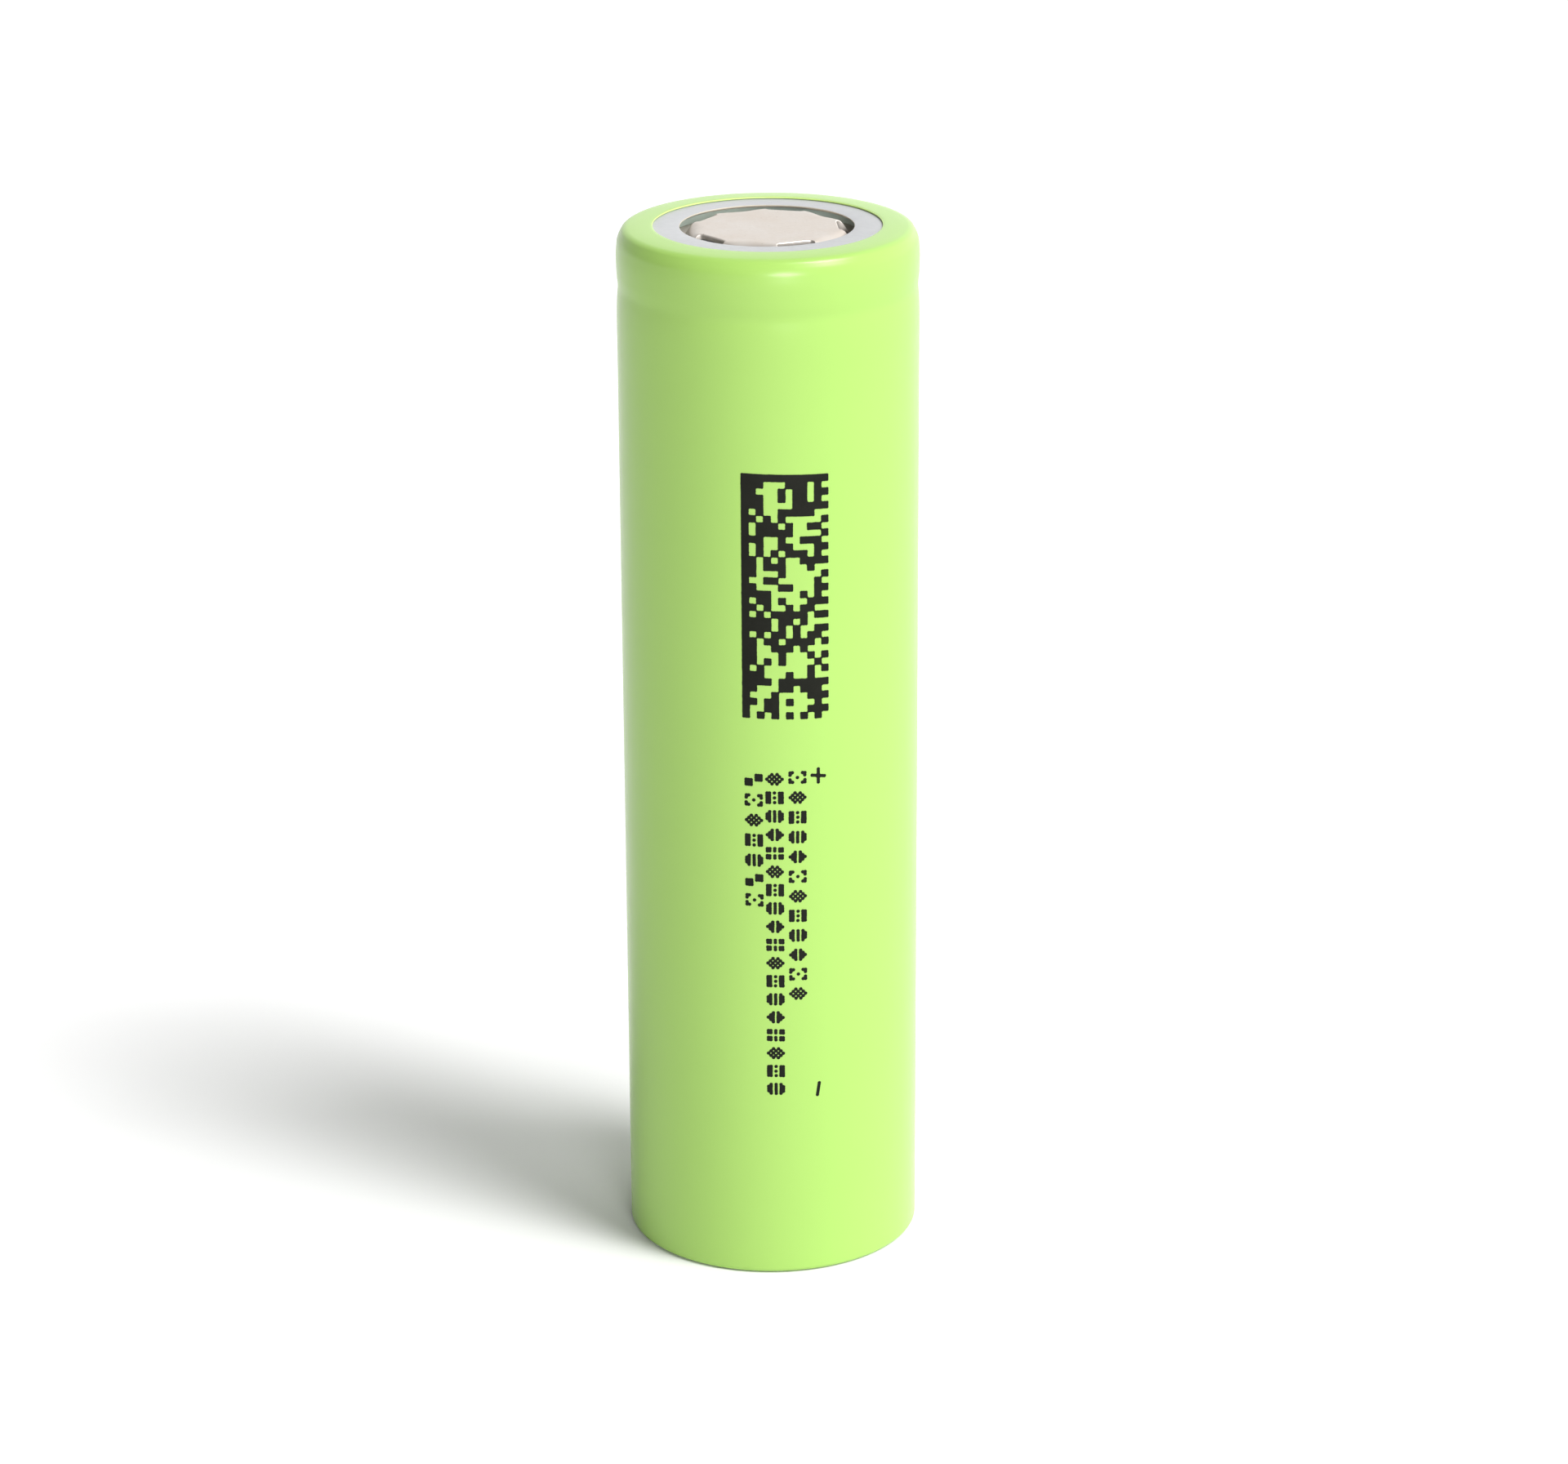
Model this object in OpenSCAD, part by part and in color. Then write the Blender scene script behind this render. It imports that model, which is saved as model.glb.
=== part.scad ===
// Cylindrical lithium-ion cell, 18 x 65 mm class, with every piece of its header and winding.
// +Z is up. The origin is the centre of the face that the cell stands on.

/* [Sleeve and can] */
// Outside diameter over the shrink sleeve
cell_d = 18.3; // [18.0:0.05:18.6]
// Height from the sleeve's bottom fold to its top fold
cell_h = 65.1; // [64.5:0.05:66]
// Thickness of the shrink film
film_t = 0.1; // [0.06:0.01:0.14]
// Radius of the sleeve's shoulder
shoulder_r = 1.1; // [0.9:0.05:1.3]
// Radius of the opening in the sleeve's top fold
fold_top_r = 6.9; // [6.6:0.05:7.2]
// Radius of the opening in the sleeve's bottom fold
fold_base_r = 7.4; // [7.2:0.05:7.8]
// Wall thickness of the steel can
can_wall = 0.2; // [0.15:0.01:0.25]
// Thickness of the can's base
can_base_t = 0.3; // [0.25:0.01:0.4]
// Height of the middle of the rolled bead
bead_z = 61.5; // [61.3:0.05:61.6]
// Inner radius of the crimped lip
lip_hole_r = 6.5; // [6.4:0.05:6.8]

/* [Washer and cap] */
// Radius of the hole in the insulating washer
washer_hole_r = 5.25; // [5.2:0.05:5.6]
// Outer radius of the insulating washer
washer_r = 8; // [7.6:0.05:8]
// Thickness of the insulating washer
washer_t = 0.18; // [0.12:0.01:0.18]
// Height of the cap's flat top
cap_top_z = 64.95; // [64.9:0.05:65.1]
// Sheet thickness of the cap
cap_t = 0.28; // [0.25:0.01:0.3]
// Radius at which the rounded edge of the cap's top begins
cap_flat_r = 4.5; // [4.4:0.05:4.6]
// Radius of the cap's rounded edge
cap_edge_r = 0.3; // [0.3:0.01:0.4]
// Lean of the cap's wall from upright, in degrees
cap_lean = 35; // [20:1:40]
// Number of gas windows around the cap
window_count = 5; // [4:1:5]
// Width of one gas window
window_w = 2.4; // [2:0.1:3]
// Distance from the axis to the straight edge of a window
window_r = 4.2; // [4:0.05:4.3]
// Direction of the first window, in degrees round the axis
window_turn = 4; // [0:1:71]
// Radius of the outside of the header's discs
header_r = 8.05; // [7.9:0.05:8.05]

/* [Winding] */
// Radius where the winding starts
roll_start_r = 1.85; // [1.8:0.05:2]
// Number of half turns in the separators
half_turns = 28; // [20:2:28]
// Thickness of one separator film
separator_t = 0.03; // [0.02:0.01:0.03]
// Thickness of one electrode foil
foil_t = 0.03; // [0.02:0.01:0.03]
// Thickness of the coating on one side of a foil
coating_t = 0.06; // [0.05:0.01:0.06]
// Free space left between one layer and the next
layer_gap = 0.025; // [0.02:0.005:0.025]
// Outer radius of the centre pin
pin_r = 1.6; // [1.4:0.05:1.65]
// Wall thickness of the centre pin
pin_wall = 0.2; // [0.15:0.01:0.3]
// Width of the slit along the centre pin
pin_slit = 0.4; // [0.2:0.1:0.8]

/* [Hidden] */
$fn = 96;

// Clearance between pieces that are slid together
clearance = 0.02;
// How far a corner cutter reaches past the edge that it rounds
cutter_margin = 0.3;

// Can: its outside, its floor and the top of its crimped lip
cell_r = cell_d / 2;
can_r = cell_r - film_t - clearance;
can_bottom_z = film_t + clearance;
can_floor_z = can_bottom_z + can_base_t;
washer_top_z = cell_h - film_t - clearance;
washer_bottom_z = washer_top_z - washer_t;
can_top_z = washer_bottom_z - clearance;
can_shoulder_r = shoulder_r - film_t - clearance;
base_round_r = 0.35;

// Bead: a groove with a round bottom, and the shelf that it makes inside
groove_half_w = 0.45;
groove_centre_r = can_r - groove_half_w;
groove_mouth_r = 0.18;
shelf_z = bead_z + groove_half_w + can_wall;

// Coined ring around the contact area of the base
base_ring_r = 6.7;
base_ring_w = 0.3;
base_ring_depth = 0.06;

// Header, from the gasket's floor upwards
gasket_bottom_z = shelf_z + clearance;
gasket_lip_t = 0.2;
plate_z = gasket_bottom_z + gasket_lip_t;
plate_t = 0.4;
ring_z = plate_z + plate_t;
ring_t = 0.5;
vent_z = ring_z + ring_t;
vent_t = 0.24;
ptc_z = vent_z + vent_t;
ptc_t = 0.28;
ptc_hole_r = 5.2;
flange_z = ptc_z + ptc_t;
flange_top_z = flange_z + cap_t;
gasket_hole_r = 6.3;
gasket_foot_r = 6.2;

// Current interrupter: the disc between the vent's dimple and the perforated plate
weld_disc_r = 1.3;
weld_disc_t = 0.15;
dimple_z = ring_z + weld_disc_t;
dimple_r = 1.6;
dish_r = 5.6;
score_r = 4;
score_w = 0.2;
score_depth = 0.1;
plate_hole_r = 0.7;
plate_hole_ring_r = 4.2;
plate_hole_count = 6;

// Winding: the layers of one turn, measured outwards from its inner face
electrode_t = foil_t + 2 * coating_t;
cathode_offset = separator_t + layer_gap;
outer_separator_offset = cathode_offset + electrode_t + layer_gap;
anode_offset = outer_separator_offset + separator_t + layer_gap;
pitch = anode_offset + electrode_t + layer_gap;

// Winding: heights of the separators, anode and cathode, and the first and last half turn of each
separator_z = [0.95, 59.55];
anode_z = [1.35, 59.15];
cathode_z = [1.75, 58.75];
separator_turns = [0, half_turns - 1];
anode_foil_turns = [1, half_turns - 2];
anode_coating_turns = [1, half_turns - 3];
cathode_foil_turns = [1, half_turns - 3];
cathode_coating_turns = [2, half_turns - 3];

// Tabs: strips as thick as the coating that they replace on a bare stretch of foil
tab_t = coating_t;
tab_span = 60;
tab_bend_r = 0.3;
tab_width = 2;
upper_disc_z = 59.75;
lower_disc_z = 0.58;
disc_t = 0.15;
disc_r = can_r - can_wall - 0.1;

// Turned profiles: half sections in the plane of radius and height

// Solid of revolution about the cell's axis
module lathe() {
    rotate_extrude() children();
}

// Square corner to cut away where an edge of this radius is rounded; the edge points to +X +Y
module corner_cutter(radius) {
    difference() {
        square(radius + cutter_margin);
        circle(radius);
    }
}

// Half section of a closed barrel with a rounded top edge and a rounded bottom edge
module barrel_section(radius, bottom, top, top_round, bottom_round) {
    difference() {
        translate([0, bottom])
            square([radius, top - bottom]);
        translate([radius - top_round, top - top_round])
            corner_cutter(top_round);
        translate([radius - bottom_round, bottom + bottom_round])
            mirror([0, 1])
                corner_cutter(bottom_round);
    }
}

// Half section of a flat ring
module ring_section(inner, outer, bottom, thickness) {
    translate([inner, bottom])
        square([outer - inner, thickness]);
}

// Shrink sleeve, folded over both ends
module sleeve() {
    color([0.77, 0.98, 0.53])
        lathe()
            difference() {
                barrel_section(cell_r, 0, cell_h, shoulder_r, base_round_r);
                barrel_section(cell_r - film_t, film_t, cell_h - film_t,
                               shoulder_r - film_t, base_round_r - film_t);
                translate([0, cell_h / 2])
                    square([fold_top_r, cell_h]);
                translate([0, -cell_h / 2])
                    square([fold_base_r, cell_h]);
            }
}

// Insulating washer on the crimped lip
module top_washer() {
    color([0.87, 0.87, 0.86])
        lathe()
            ring_section(washer_hole_r, washer_r, washer_bottom_z, washer_t);
}

// Half section of the bead: round-nosed slot of this half width
module bead_section(half_width, outer) {
    translate([groove_centre_r, bead_z])
        circle(half_width);
    translate([groove_centre_r, bead_z - half_width])
        square([outer - groove_centre_r, 2 * half_width]);
}

// Deep-drawn can with its bead, its crimped lip and the coined ring in its base
module steel_can() {
    wall_r = can_r - can_wall;
    color([0.78, 0.78, 0.76])
        lathe()
            difference() {
                barrel_section(can_r, can_bottom_z, can_top_z, can_shoulder_r, base_round_r - film_t);
                difference() {
                    barrel_section(wall_r, can_floor_z, can_top_z - can_wall,
                                   can_shoulder_r - can_wall, 0.1);
                    bead_section(groove_half_w + can_wall, can_r);
                }
                translate([0, can_floor_z + 1])
                    square([lip_hole_r, cell_h]);
                bead_section(groove_half_w, cell_r);
                for (side = [0, 1])
                    translate([can_r - groove_mouth_r, bead_z])
                        mirror([0, side])
                            translate([0, groove_half_w + groove_mouth_r])
                                mirror([0, 1])
                                    corner_cutter(groove_mouth_r);
                ring_section(base_ring_r, base_ring_r + base_ring_w, can_bottom_z - 1, 1 + base_ring_depth);
            }
}

// Gasket that is squeezed between the can and the header
module crimp_gasket() {
    outer_r = can_r - can_wall - clearance;
    top = can_top_z - can_wall - clearance;
    color([0.62, 0.7, 0.66])
        lathe()
            difference() {
                union() {
                    barrel_section(outer_r, gasket_bottom_z, top, can_shoulder_r - can_wall - clearance, 0.1);
                    ring_section(gasket_hole_r, lip_hole_r - clearance, flange_top_z, can_top_z - flange_top_z);
                }
                translate([0, plate_z])
                    square([header_r + clearance, flange_top_z - plate_z]);
                translate([0, flange_top_z - 1])
                    square([gasket_hole_r, 3]);
                translate([0, gasket_bottom_z - 1])
                    square([gasket_foot_r, 3]);
            }
}

// Positive terminal: a stamped hat with a flange and gas windows through its wall
module positive_cap() {
    edge_z = cap_top_z - cap_edge_r;
    shift_out = cap_edge_r * cos(cap_lean);
    shift_up = cap_edge_r * sin(cap_lean);
    foot_r = cap_flat_r + shift_out + (edge_z + shift_up - flange_top_z) * tan(cap_lean);
    wall_across = cap_t / cos(cap_lean);
    foot_inner_r = foot_r + cap_t * tan(cap_lean) - wall_across;
    head_inner_r = foot_inner_r - (cap_top_z - cap_t - flange_z) * tan(cap_lean);
    color([0.87, 0.84, 0.8])
        difference() {
            lathe()
                difference() {
                    union() {
                        translate([0, flange_z])
                            square([header_r, cap_t]);
                        translate([0, edge_z])
                            square([cap_flat_r, cap_edge_r]);
                        translate([cap_flat_r, edge_z])
                            circle(cap_edge_r);
                        polygon([[0, flange_z], [foot_r, flange_z], [foot_r, flange_top_z],
                                 [cap_flat_r + shift_out, edge_z + shift_up], [0, edge_z + shift_up]]);
                    }
                    polygon([[0, flange_z - 1], [foot_inner_r, flange_z - 1], [foot_inner_r, flange_z],
                             [head_inner_r, cap_top_z - cap_t], [0, cap_top_z - cap_t]]);
                }
            for (i = [0 : window_count - 1])
                rotate([0, 0, window_turn + i * 360 / window_count])
                    translate([window_r, -window_w / 2, flange_top_z])
                        cube([3, window_w, 3]);
        }
}

// Resettable fuse ring under the cap's flange
module ptc_ring() {
    color([0.55, 0.5, 0.45])
        lathe()
            ring_section(ptc_hole_r, header_r, ptc_z, ptc_t);
}

// Scored aluminium disc whose dimple is welded to the interrupter plate
module vent_disc() {
    top = vent_z + vent_t;
    dimple_top = dimple_z + vent_t;
    color([0.8, 0.81, 0.83])
        lathe()
            difference() {
                polygon([[0, dimple_z], [dimple_r, dimple_z], [dish_r, vent_z], [header_r, vent_z],
                         [header_r, top], [dish_r - 0.1, top], [dimple_r - 0.1, dimple_top], [0, dimple_top]]);
                translate([score_r, score_top_z()])
                    polygon([[-score_w / 2, 0.2], [0, -score_depth], [score_w / 2, 0.2]]);
            }
}

// Height of the vent disc's upper face at the score
function score_top_z() =
    dimple_z + vent_t + (vent_z - dimple_z) * (score_r - dimple_r + 0.1) / (dish_r - dimple_r);

// Plastic ring that keeps the vent disc's rim off the interrupter plate
module interrupter_ring() {
    color([0.93, 0.93, 0.9])
        lathe()
            ring_section(6, header_r, ring_z, ring_t);
}

// Perforated aluminium plate under the vent disc
module interrupter_plate() {
    color([0.75, 0.76, 0.78])
        difference() {
            lathe()
                difference() {
                    ring_section(0, header_r, plate_z, plate_t);
                    ring_section(weld_disc_r + 0.2, weld_disc_r + 0.4, plate_z + 0.15, 1);
                }
            for (i = [0 : plate_hole_count - 1])
                rotate([0, 0, i * 360 / plate_hole_count])
                    translate([plate_hole_ring_r, 0, plate_z - 1])
                        cylinder(r = plate_hole_r, h = 3);
        }
}

// Weld disc that tears off the plate and rises with the vent disc's dimple
module interrupter_disc() {
    color([0.7, 0.71, 0.73])
        translate([0, 0, ring_z])
            cylinder(r = weld_disc_r, h = weld_disc_t);
}

// Winding

// Inner radius of a half turn's innermost layer
function turn_r(k) = roll_start_r + k * pitch / 2;

// Centre of a half turn: it changes sides at each half, which makes the winding a true spiral
function turn_x(k) = (k % 2 == 0 ? -1 : 1) * pitch / 4;

// Angle at which a half turn starts
function turn_start(k) = k % 2 == 0 ? 0 : 180;

// Part of one half turn: a curved strip with its own thickness, height and span
module half_turn(k, offset_r, thickness, z, start, span) {
    translate([turn_x(k), 0, z[0]])
        rotate([0, 0, start])
            rotate_extrude(angle = span)
                translate([turn_r(k) + offset_r, 0])
                    square([thickness, z[1] - z[0]]);
}

// Layer of the winding from its first half turn to its last
module layer(turns, offset_r, thickness, z) {
    for (k = [turns[0] : turns[1]])
        half_turn(k, offset_r, thickness, z, turn_start(k), 180);
}

// Separator films
module inner_separator() {
    color([0.95, 0.95, 0.93])
        layer(separator_turns, 0, separator_t, separator_z);
}

module outer_separator() {
    color([0.93, 0.93, 0.95])
        layer(separator_turns, outer_separator_offset, separator_t, separator_z);
}

// Cathode: aluminium foil, coated on both faces except at its bare inner end
module cathode_foil() {
    color([0.83, 0.84, 0.86])
        layer(cathode_foil_turns, cathode_offset + coating_t, foil_t, cathode_z);
}

module cathode_coating() {
    color([0.16, 0.16, 0.18]) {
        layer(cathode_coating_turns, cathode_offset, coating_t, cathode_z);
        layer(cathode_coating_turns, cathode_offset + coating_t + foil_t, coating_t, cathode_z);
    }
}

// Anode: copper foil, coated on both faces except at its bare outer end
module anode_foil() {
    color([0.8, 0.5, 0.33])
        layer(anode_foil_turns, anode_offset + coating_t, foil_t, anode_z);
}

module anode_coating() {
    color([0.24, 0.24, 0.26]) {
        layer(anode_coating_turns, anode_offset, coating_t, anode_z);
        layer(anode_coating_turns, anode_offset + coating_t + foil_t, coating_t, anode_z);
    }
}

// Tape along the outer end of the winding
module winding_tape() {
    last = separator_turns[1];
    color([0.35, 0.6, 0.8])
        half_turn(last, pitch, 0.05, [6, 54], 220, 100);
}

// Tabs

// Part of a bend in a flat strip: a quarter ring between two angles that are a multiple of 90
module quarter_bend(inner, thickness, quarter) {
    rotate([0, 0, 90 * quarter])
        intersection() {
            difference() {
                circle(inner + thickness);
                circle(inner);
            }
            square(inner + thickness + 1);
        }
}

// Strip whose bends are drawn as a side view, Y to the right and Z up, and which is this wide along X
module side_view_strip(width) {
    rotate([90, 0, 90])
        linear_extrude(width, center = true)
            children();
}

// Aluminium tab from the cathode's bare end, through the upper insulator and back to the plate
module cathode_tab() {
    k = cathode_foil_turns[0];
    face_y = -(turn_r(k) + cathode_offset);
    low_z = upper_disc_z + disc_t + 0.35;
    loop_r = (plate_z - low_z) / 2;
    loop_y = -4.2;
    weld_end_y = 1.4;
    color([0.84, 0.85, 0.87]) {
        half_turn(k, cathode_offset, tab_t, [18, low_z - tab_bend_r], 270 - tab_span / 2, tab_span);
        side_view_strip(tab_width) {
            translate([face_y - tab_bend_r, low_z - tab_bend_r])
                quarter_bend(tab_bend_r - tab_t, tab_t, 0);
            translate([face_y - tab_t, upper_disc_z - 1])
                square([tab_t, low_z - tab_bend_r - upper_disc_z + 1]);
            translate([loop_y, low_z - tab_t])
                square([face_y - tab_bend_r - loop_y, tab_t]);
            translate([loop_y, low_z - tab_t + loop_r + tab_t / 2]) {
                quarter_bend(loop_r - tab_t / 2, tab_t, 1);
                quarter_bend(loop_r - tab_t / 2, tab_t, 2);
            }
            translate([loop_y, plate_z - tab_t])
                square([weld_end_y - loop_y, tab_t]);
        }
    }
}

// Nickel tab from the anode's bare end, under the lower insulator to the middle of the can's floor
module anode_tab() {
    k = anode_foil_turns[1];
    face_y = turn_r(k) + anode_offset + foil_t + coating_t + tab_t;
    color([0.76, 0.75, 0.72]) {
        half_turn(k, anode_offset + coating_t + foil_t, tab_t, [can_floor_z + tab_bend_r, 34],
                  90 - tab_span / 10, tab_span / 5);
        side_view_strip(tab_width) {
            translate([face_y - tab_bend_r, can_floor_z + tab_bend_r])
                quarter_bend(tab_bend_r - tab_t, tab_t, 3);
            translate([face_y - tab_t, can_floor_z + tab_bend_r])
                square([tab_t, 0.4]);
            translate([-1.4, can_floor_z])
                square([face_y - tab_bend_r + 1.4, tab_t]);
        }
    }
}

// Tapes on the far side of each foil behind its tab
module cathode_tab_tape() {
    color([0.85, 0.6, 0.2])
        half_turn(cathode_foil_turns[0], cathode_offset + coating_t + foil_t, 0.05,
                  [16, 58], 270 - tab_span / 2 - 5, tab_span + 10);
}

module anode_tab_tape() {
    color([0.85, 0.6, 0.2])
        half_turn(anode_foil_turns[1], anode_offset, 0.05, [2, 36], 90 - tab_span / 6, tab_span / 3);
}

// Insulators and pin

// Disc above the winding, with a slot for the tab and holes for the electrolyte
module upper_insulator() {
    color([0.9, 0.9, 0.86])
        translate([0, 0, upper_disc_z])
            difference() {
                cylinder(r = disc_r, h = disc_t);
                translate([0, 0, -1])
                    cylinder(r = 1.4, h = 3);
                translate([-tab_width / 2 - 0.3, -2.6, -1])
                    cube([tab_width + 0.6, 2.6, 3]);
                for (i = [0 : 2])
                    rotate([0, 0, 30 + i * 120])
                        translate([5, 0, -1])
                            cylinder(r = 0.9, h = 3);
            }
}

// Disc below the winding, with a notch for the tab
module lower_insulator() {
    color([0.9, 0.9, 0.86])
        translate([0, 0, lower_disc_z])
            difference() {
                cylinder(r = disc_r, h = disc_t);
                translate([0, 0, -1])
                    cylinder(r = 1.4, h = 3);
                translate([-tab_width / 2 - 0.3, disc_r - 0.7, -1])
                    cube([tab_width + 0.6, 2, 3]);
            }
}

// Rolled tube with a slit, which keeps the middle of the winding open
module centre_pin() {
    bottom = separator_z[0] + 0.3;
    height = separator_z[1] - separator_z[0] - 0.8;
    color([0.72, 0.73, 0.74])
        translate([0, 0, bottom])
            difference() {
                cylinder(r = pin_r, h = height);
                translate([0, 0, -1])
                    cylinder(r = pin_r - pin_wall, h = height + 2);
                translate([0, -pin_slit / 2, -1])
                    cube([pin_r + 1, pin_slit, height + 2]);
            }
}

sleeve();
top_washer();
steel_can();
crimp_gasket();
positive_cap();
ptc_ring();
vent_disc();
interrupter_ring();
interrupter_plate();
interrupter_disc();
cathode_tab();
anode_tab();
upper_insulator();
lower_insulator();
centre_pin();
cathode_foil();
cathode_coating();
anode_foil();
anode_coating();
inner_separator();
outer_separator();
winding_tape();
cathode_tab_tape();
anode_tab_tape();
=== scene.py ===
"""Looks of a cylindrical battery cell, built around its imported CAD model."""
import math
import random

import bpy
import numpy as np
from mathutils import Matrix, Vector
from mathutils.geometry import delaunay_2d_cdt


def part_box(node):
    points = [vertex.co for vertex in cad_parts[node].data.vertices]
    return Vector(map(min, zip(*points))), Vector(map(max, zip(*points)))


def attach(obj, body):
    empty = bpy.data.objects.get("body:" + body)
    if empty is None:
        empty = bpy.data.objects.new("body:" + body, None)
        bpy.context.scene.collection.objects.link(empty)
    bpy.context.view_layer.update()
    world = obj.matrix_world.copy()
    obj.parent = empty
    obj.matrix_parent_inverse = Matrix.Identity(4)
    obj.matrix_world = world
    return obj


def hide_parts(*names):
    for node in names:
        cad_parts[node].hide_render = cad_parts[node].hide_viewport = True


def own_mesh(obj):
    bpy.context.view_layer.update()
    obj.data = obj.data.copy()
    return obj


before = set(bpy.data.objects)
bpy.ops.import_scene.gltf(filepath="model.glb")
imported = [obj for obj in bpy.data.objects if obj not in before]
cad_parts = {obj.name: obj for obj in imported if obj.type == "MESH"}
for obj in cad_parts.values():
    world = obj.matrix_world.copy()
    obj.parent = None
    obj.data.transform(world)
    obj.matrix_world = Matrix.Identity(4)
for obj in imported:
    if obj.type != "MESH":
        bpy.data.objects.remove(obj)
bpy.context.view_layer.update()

MM = 0.001
CELL = "cell"
TURN = 2 * math.pi


# ---------------------------------------------------------------- places, in millimetres, from the CAD boxes

def box_mm(node):
    """Outer radius, lowest z and highest z of a CAD node."""
    low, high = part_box(node)
    radius = max(high.x, high.y, -low.x, -low.y) / MM
    return radius, low.z / MM, high.z / MM


SLEEVE_R, SLEEVE_LOW, SLEEVE_HIGH = box_mm("sleeve")
CAN_R, CAN_LOW, CAN_HIGH = box_mm("steel_can")
WASHER_R, WASHER_LOW, WASHER_HIGH = box_mm("top_washer")
CAP_R, CAP_LOW, CAP_HIGH = box_mm("positive_cap")
GASKET_R, GASKET_LOW, GASKET_HIGH = box_mm("crimp_gasket")
_, PLATE_LOW, _ = box_mm("interrupter_plate")
CAP_SHEET = 0.28
FLANGE_TOP = CAP_LOW + CAP_SHEET

FILM = 0.1                  # thickness of the shrink film
SKIN_R = SLEEVE_R - 0.028   # radius of the film's wall, which leaves room for its relief and for the ink
FOLD_TOP_R = 6.9            # radius of the opening in the top fold
FOLD_BASE_R = 7.4           # radius of the opening in the bottom fold
BEAD_Z = 61.5               # middle of the rolled bead


# ---------------------------------------------------------------- mesh helpers

def add_piece(name, vertices, faces, materials, face_material=None):
    """Mesh object from millimetre vertices, riding on the cell."""
    mesh = bpy.data.meshes.new(name)
    mesh.from_pydata([tuple(float(c) * MM for c in v) for v in vertices], [], faces)
    for made in materials:
        mesh.materials.append(made)
    if face_material is not None:
        mesh.polygons.foreach_set("material_index", face_material)
    mesh.polygons.foreach_set("use_smooth", [True] * len(mesh.polygons))
    mesh.validate()
    piece = bpy.data.objects.new(name, mesh)
    bpy.context.scene.collection.objects.link(piece)
    mesh.set_sharp_from_angle(angle=math.radians(40))
    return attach(piece, CELL)


def stands_for(node):
    """Hides the CAD node that a piece was made for."""
    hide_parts(node)


def rounded_outline(corners, steps=4):
    """Closed outline of (x, y) points from (x, y, radius) corners, each rounded by its radius."""
    points = []
    count = len(corners)
    for i, (x, y, radius) in enumerate(corners):
        here = np.array([x, y], float)
        if radius <= 0:
            points.append(here)
            continue
        to_last = np.array(corners[i - 1][:2], float) - here
        to_next = np.array(corners[(i + 1) % count][:2], float) - here
        to_last /= np.linalg.norm(to_last)
        to_next /= np.linalg.norm(to_next)
        half = math.acos(np.clip(to_last @ to_next, -1, 1)) / 2
        middle = to_last + to_next
        centre = here + middle / np.linalg.norm(middle) * radius / math.sin(half)
        start = here + to_last * radius / math.tan(half) - centre
        end = here + to_next * radius / math.tan(half) - centre
        sweep = math.pi - 2 * half
        for k in range(steps + 1):
            t = k / steps
            spoke = (math.sin((1 - t) * sweep) * start + math.sin(t * sweep) * end) / math.sin(sweep)
            points.append(centre + spoke)
    return np.array(points)


def smooth_curve(points, steps):
    """Curve of (r, z) points that passes through the given ones, with its ends left out of the rounding."""
    given = np.array(points, float)
    padded = np.vstack([2 * given[0] - given[1], given, 2 * given[-1] - given[-2]])
    made = []
    for i in range(len(given) - 1):
        a, b, c, d = padded[i:i + 4]
        for k in range(steps):
            t = k / steps
            made.append(0.5 * (2 * b + (c - a) * t + (2 * a - 5 * b + 4 * c - d) * t * t
                               + (3 * b - a - 3 * c + d) * t ** 3))
    made.append(given[-1])
    return np.array(made)


def spread(start, end, count):
    """Straight run of points, both ends included."""
    return np.linspace(start, end, count)


def turned(name, section, materials, segments=256, shape=None, edge_rows=(), pole=False):
    """Solid of revolution from a section of (r, z) points that runs counter-clockwise.
    shape(angles, r, z) may change the radius and height, and edge_rows get the second material.
    With pole, the first and last points lie on the axis and the section is left open there."""
    angles = np.arange(segments) * TURN / segments
    rows = section[1:-1] if pole else section
    radius = np.repeat(rows[:, 0][:, None], segments, 1)
    height = np.repeat(rows[:, 1][:, None], segments, 1)
    if shape is not None:
        radius, height = shape(angles[None, :], radius, height)
    vertices = np.stack([radius * np.cos(angles), radius * np.sin(angles), height], -1).reshape(-1, 3)
    vertices = [tuple(v) for v in vertices]
    count = len(rows)
    faces, which = [], []
    for i in range(count - 1 if pole else count):
        j = (i + 1) % count
        for k in range(segments):
            n = (k + 1) % segments
            faces.append((i * segments + k, i * segments + n, j * segments + n, j * segments + k))
            which.append(1 if i in edge_rows else 0)
    if pole:
        for end, row in ((section[0], 0), (section[-1], count - 1)):
            tip = len(vertices)
            vertices.append((0.0, 0.0, end[1]))
            for k in range(segments):
                n = (k + 1) % segments
                pair = (row * segments + n, row * segments + k)
                faces.append((tip, *(pair if row == 0 else pair[::-1])))
                which.append(0)
    return add_piece(name, vertices, faces, materials, which)


def waves(seed, count, low, high):
    """Seeded sum of waves round the axis: a function of angle that stays within about 1 either way."""
    draw = random.Random(seed)
    terms = [(draw.randint(low, high), draw.uniform(0, TURN), draw.uniform(0.4, 1)) for _ in range(count)]
    total = sum(t[2] for t in terms)
    return lambda angle: sum(a * np.sin(n * angle + p) for n, p, a in terms) / total


# ---------------------------------------------------------------- materials

def linear(red, green, blue):
    """Linear colour from the 0 to 255 values that a screen shows."""
    def channel(value):
        share = value / 255
        return share / 12.92 if share <= 0.04045 else ((share + 0.055) / 1.055) ** 2.4
    return (channel(red), channel(green), channel(blue), 1.0)


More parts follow.
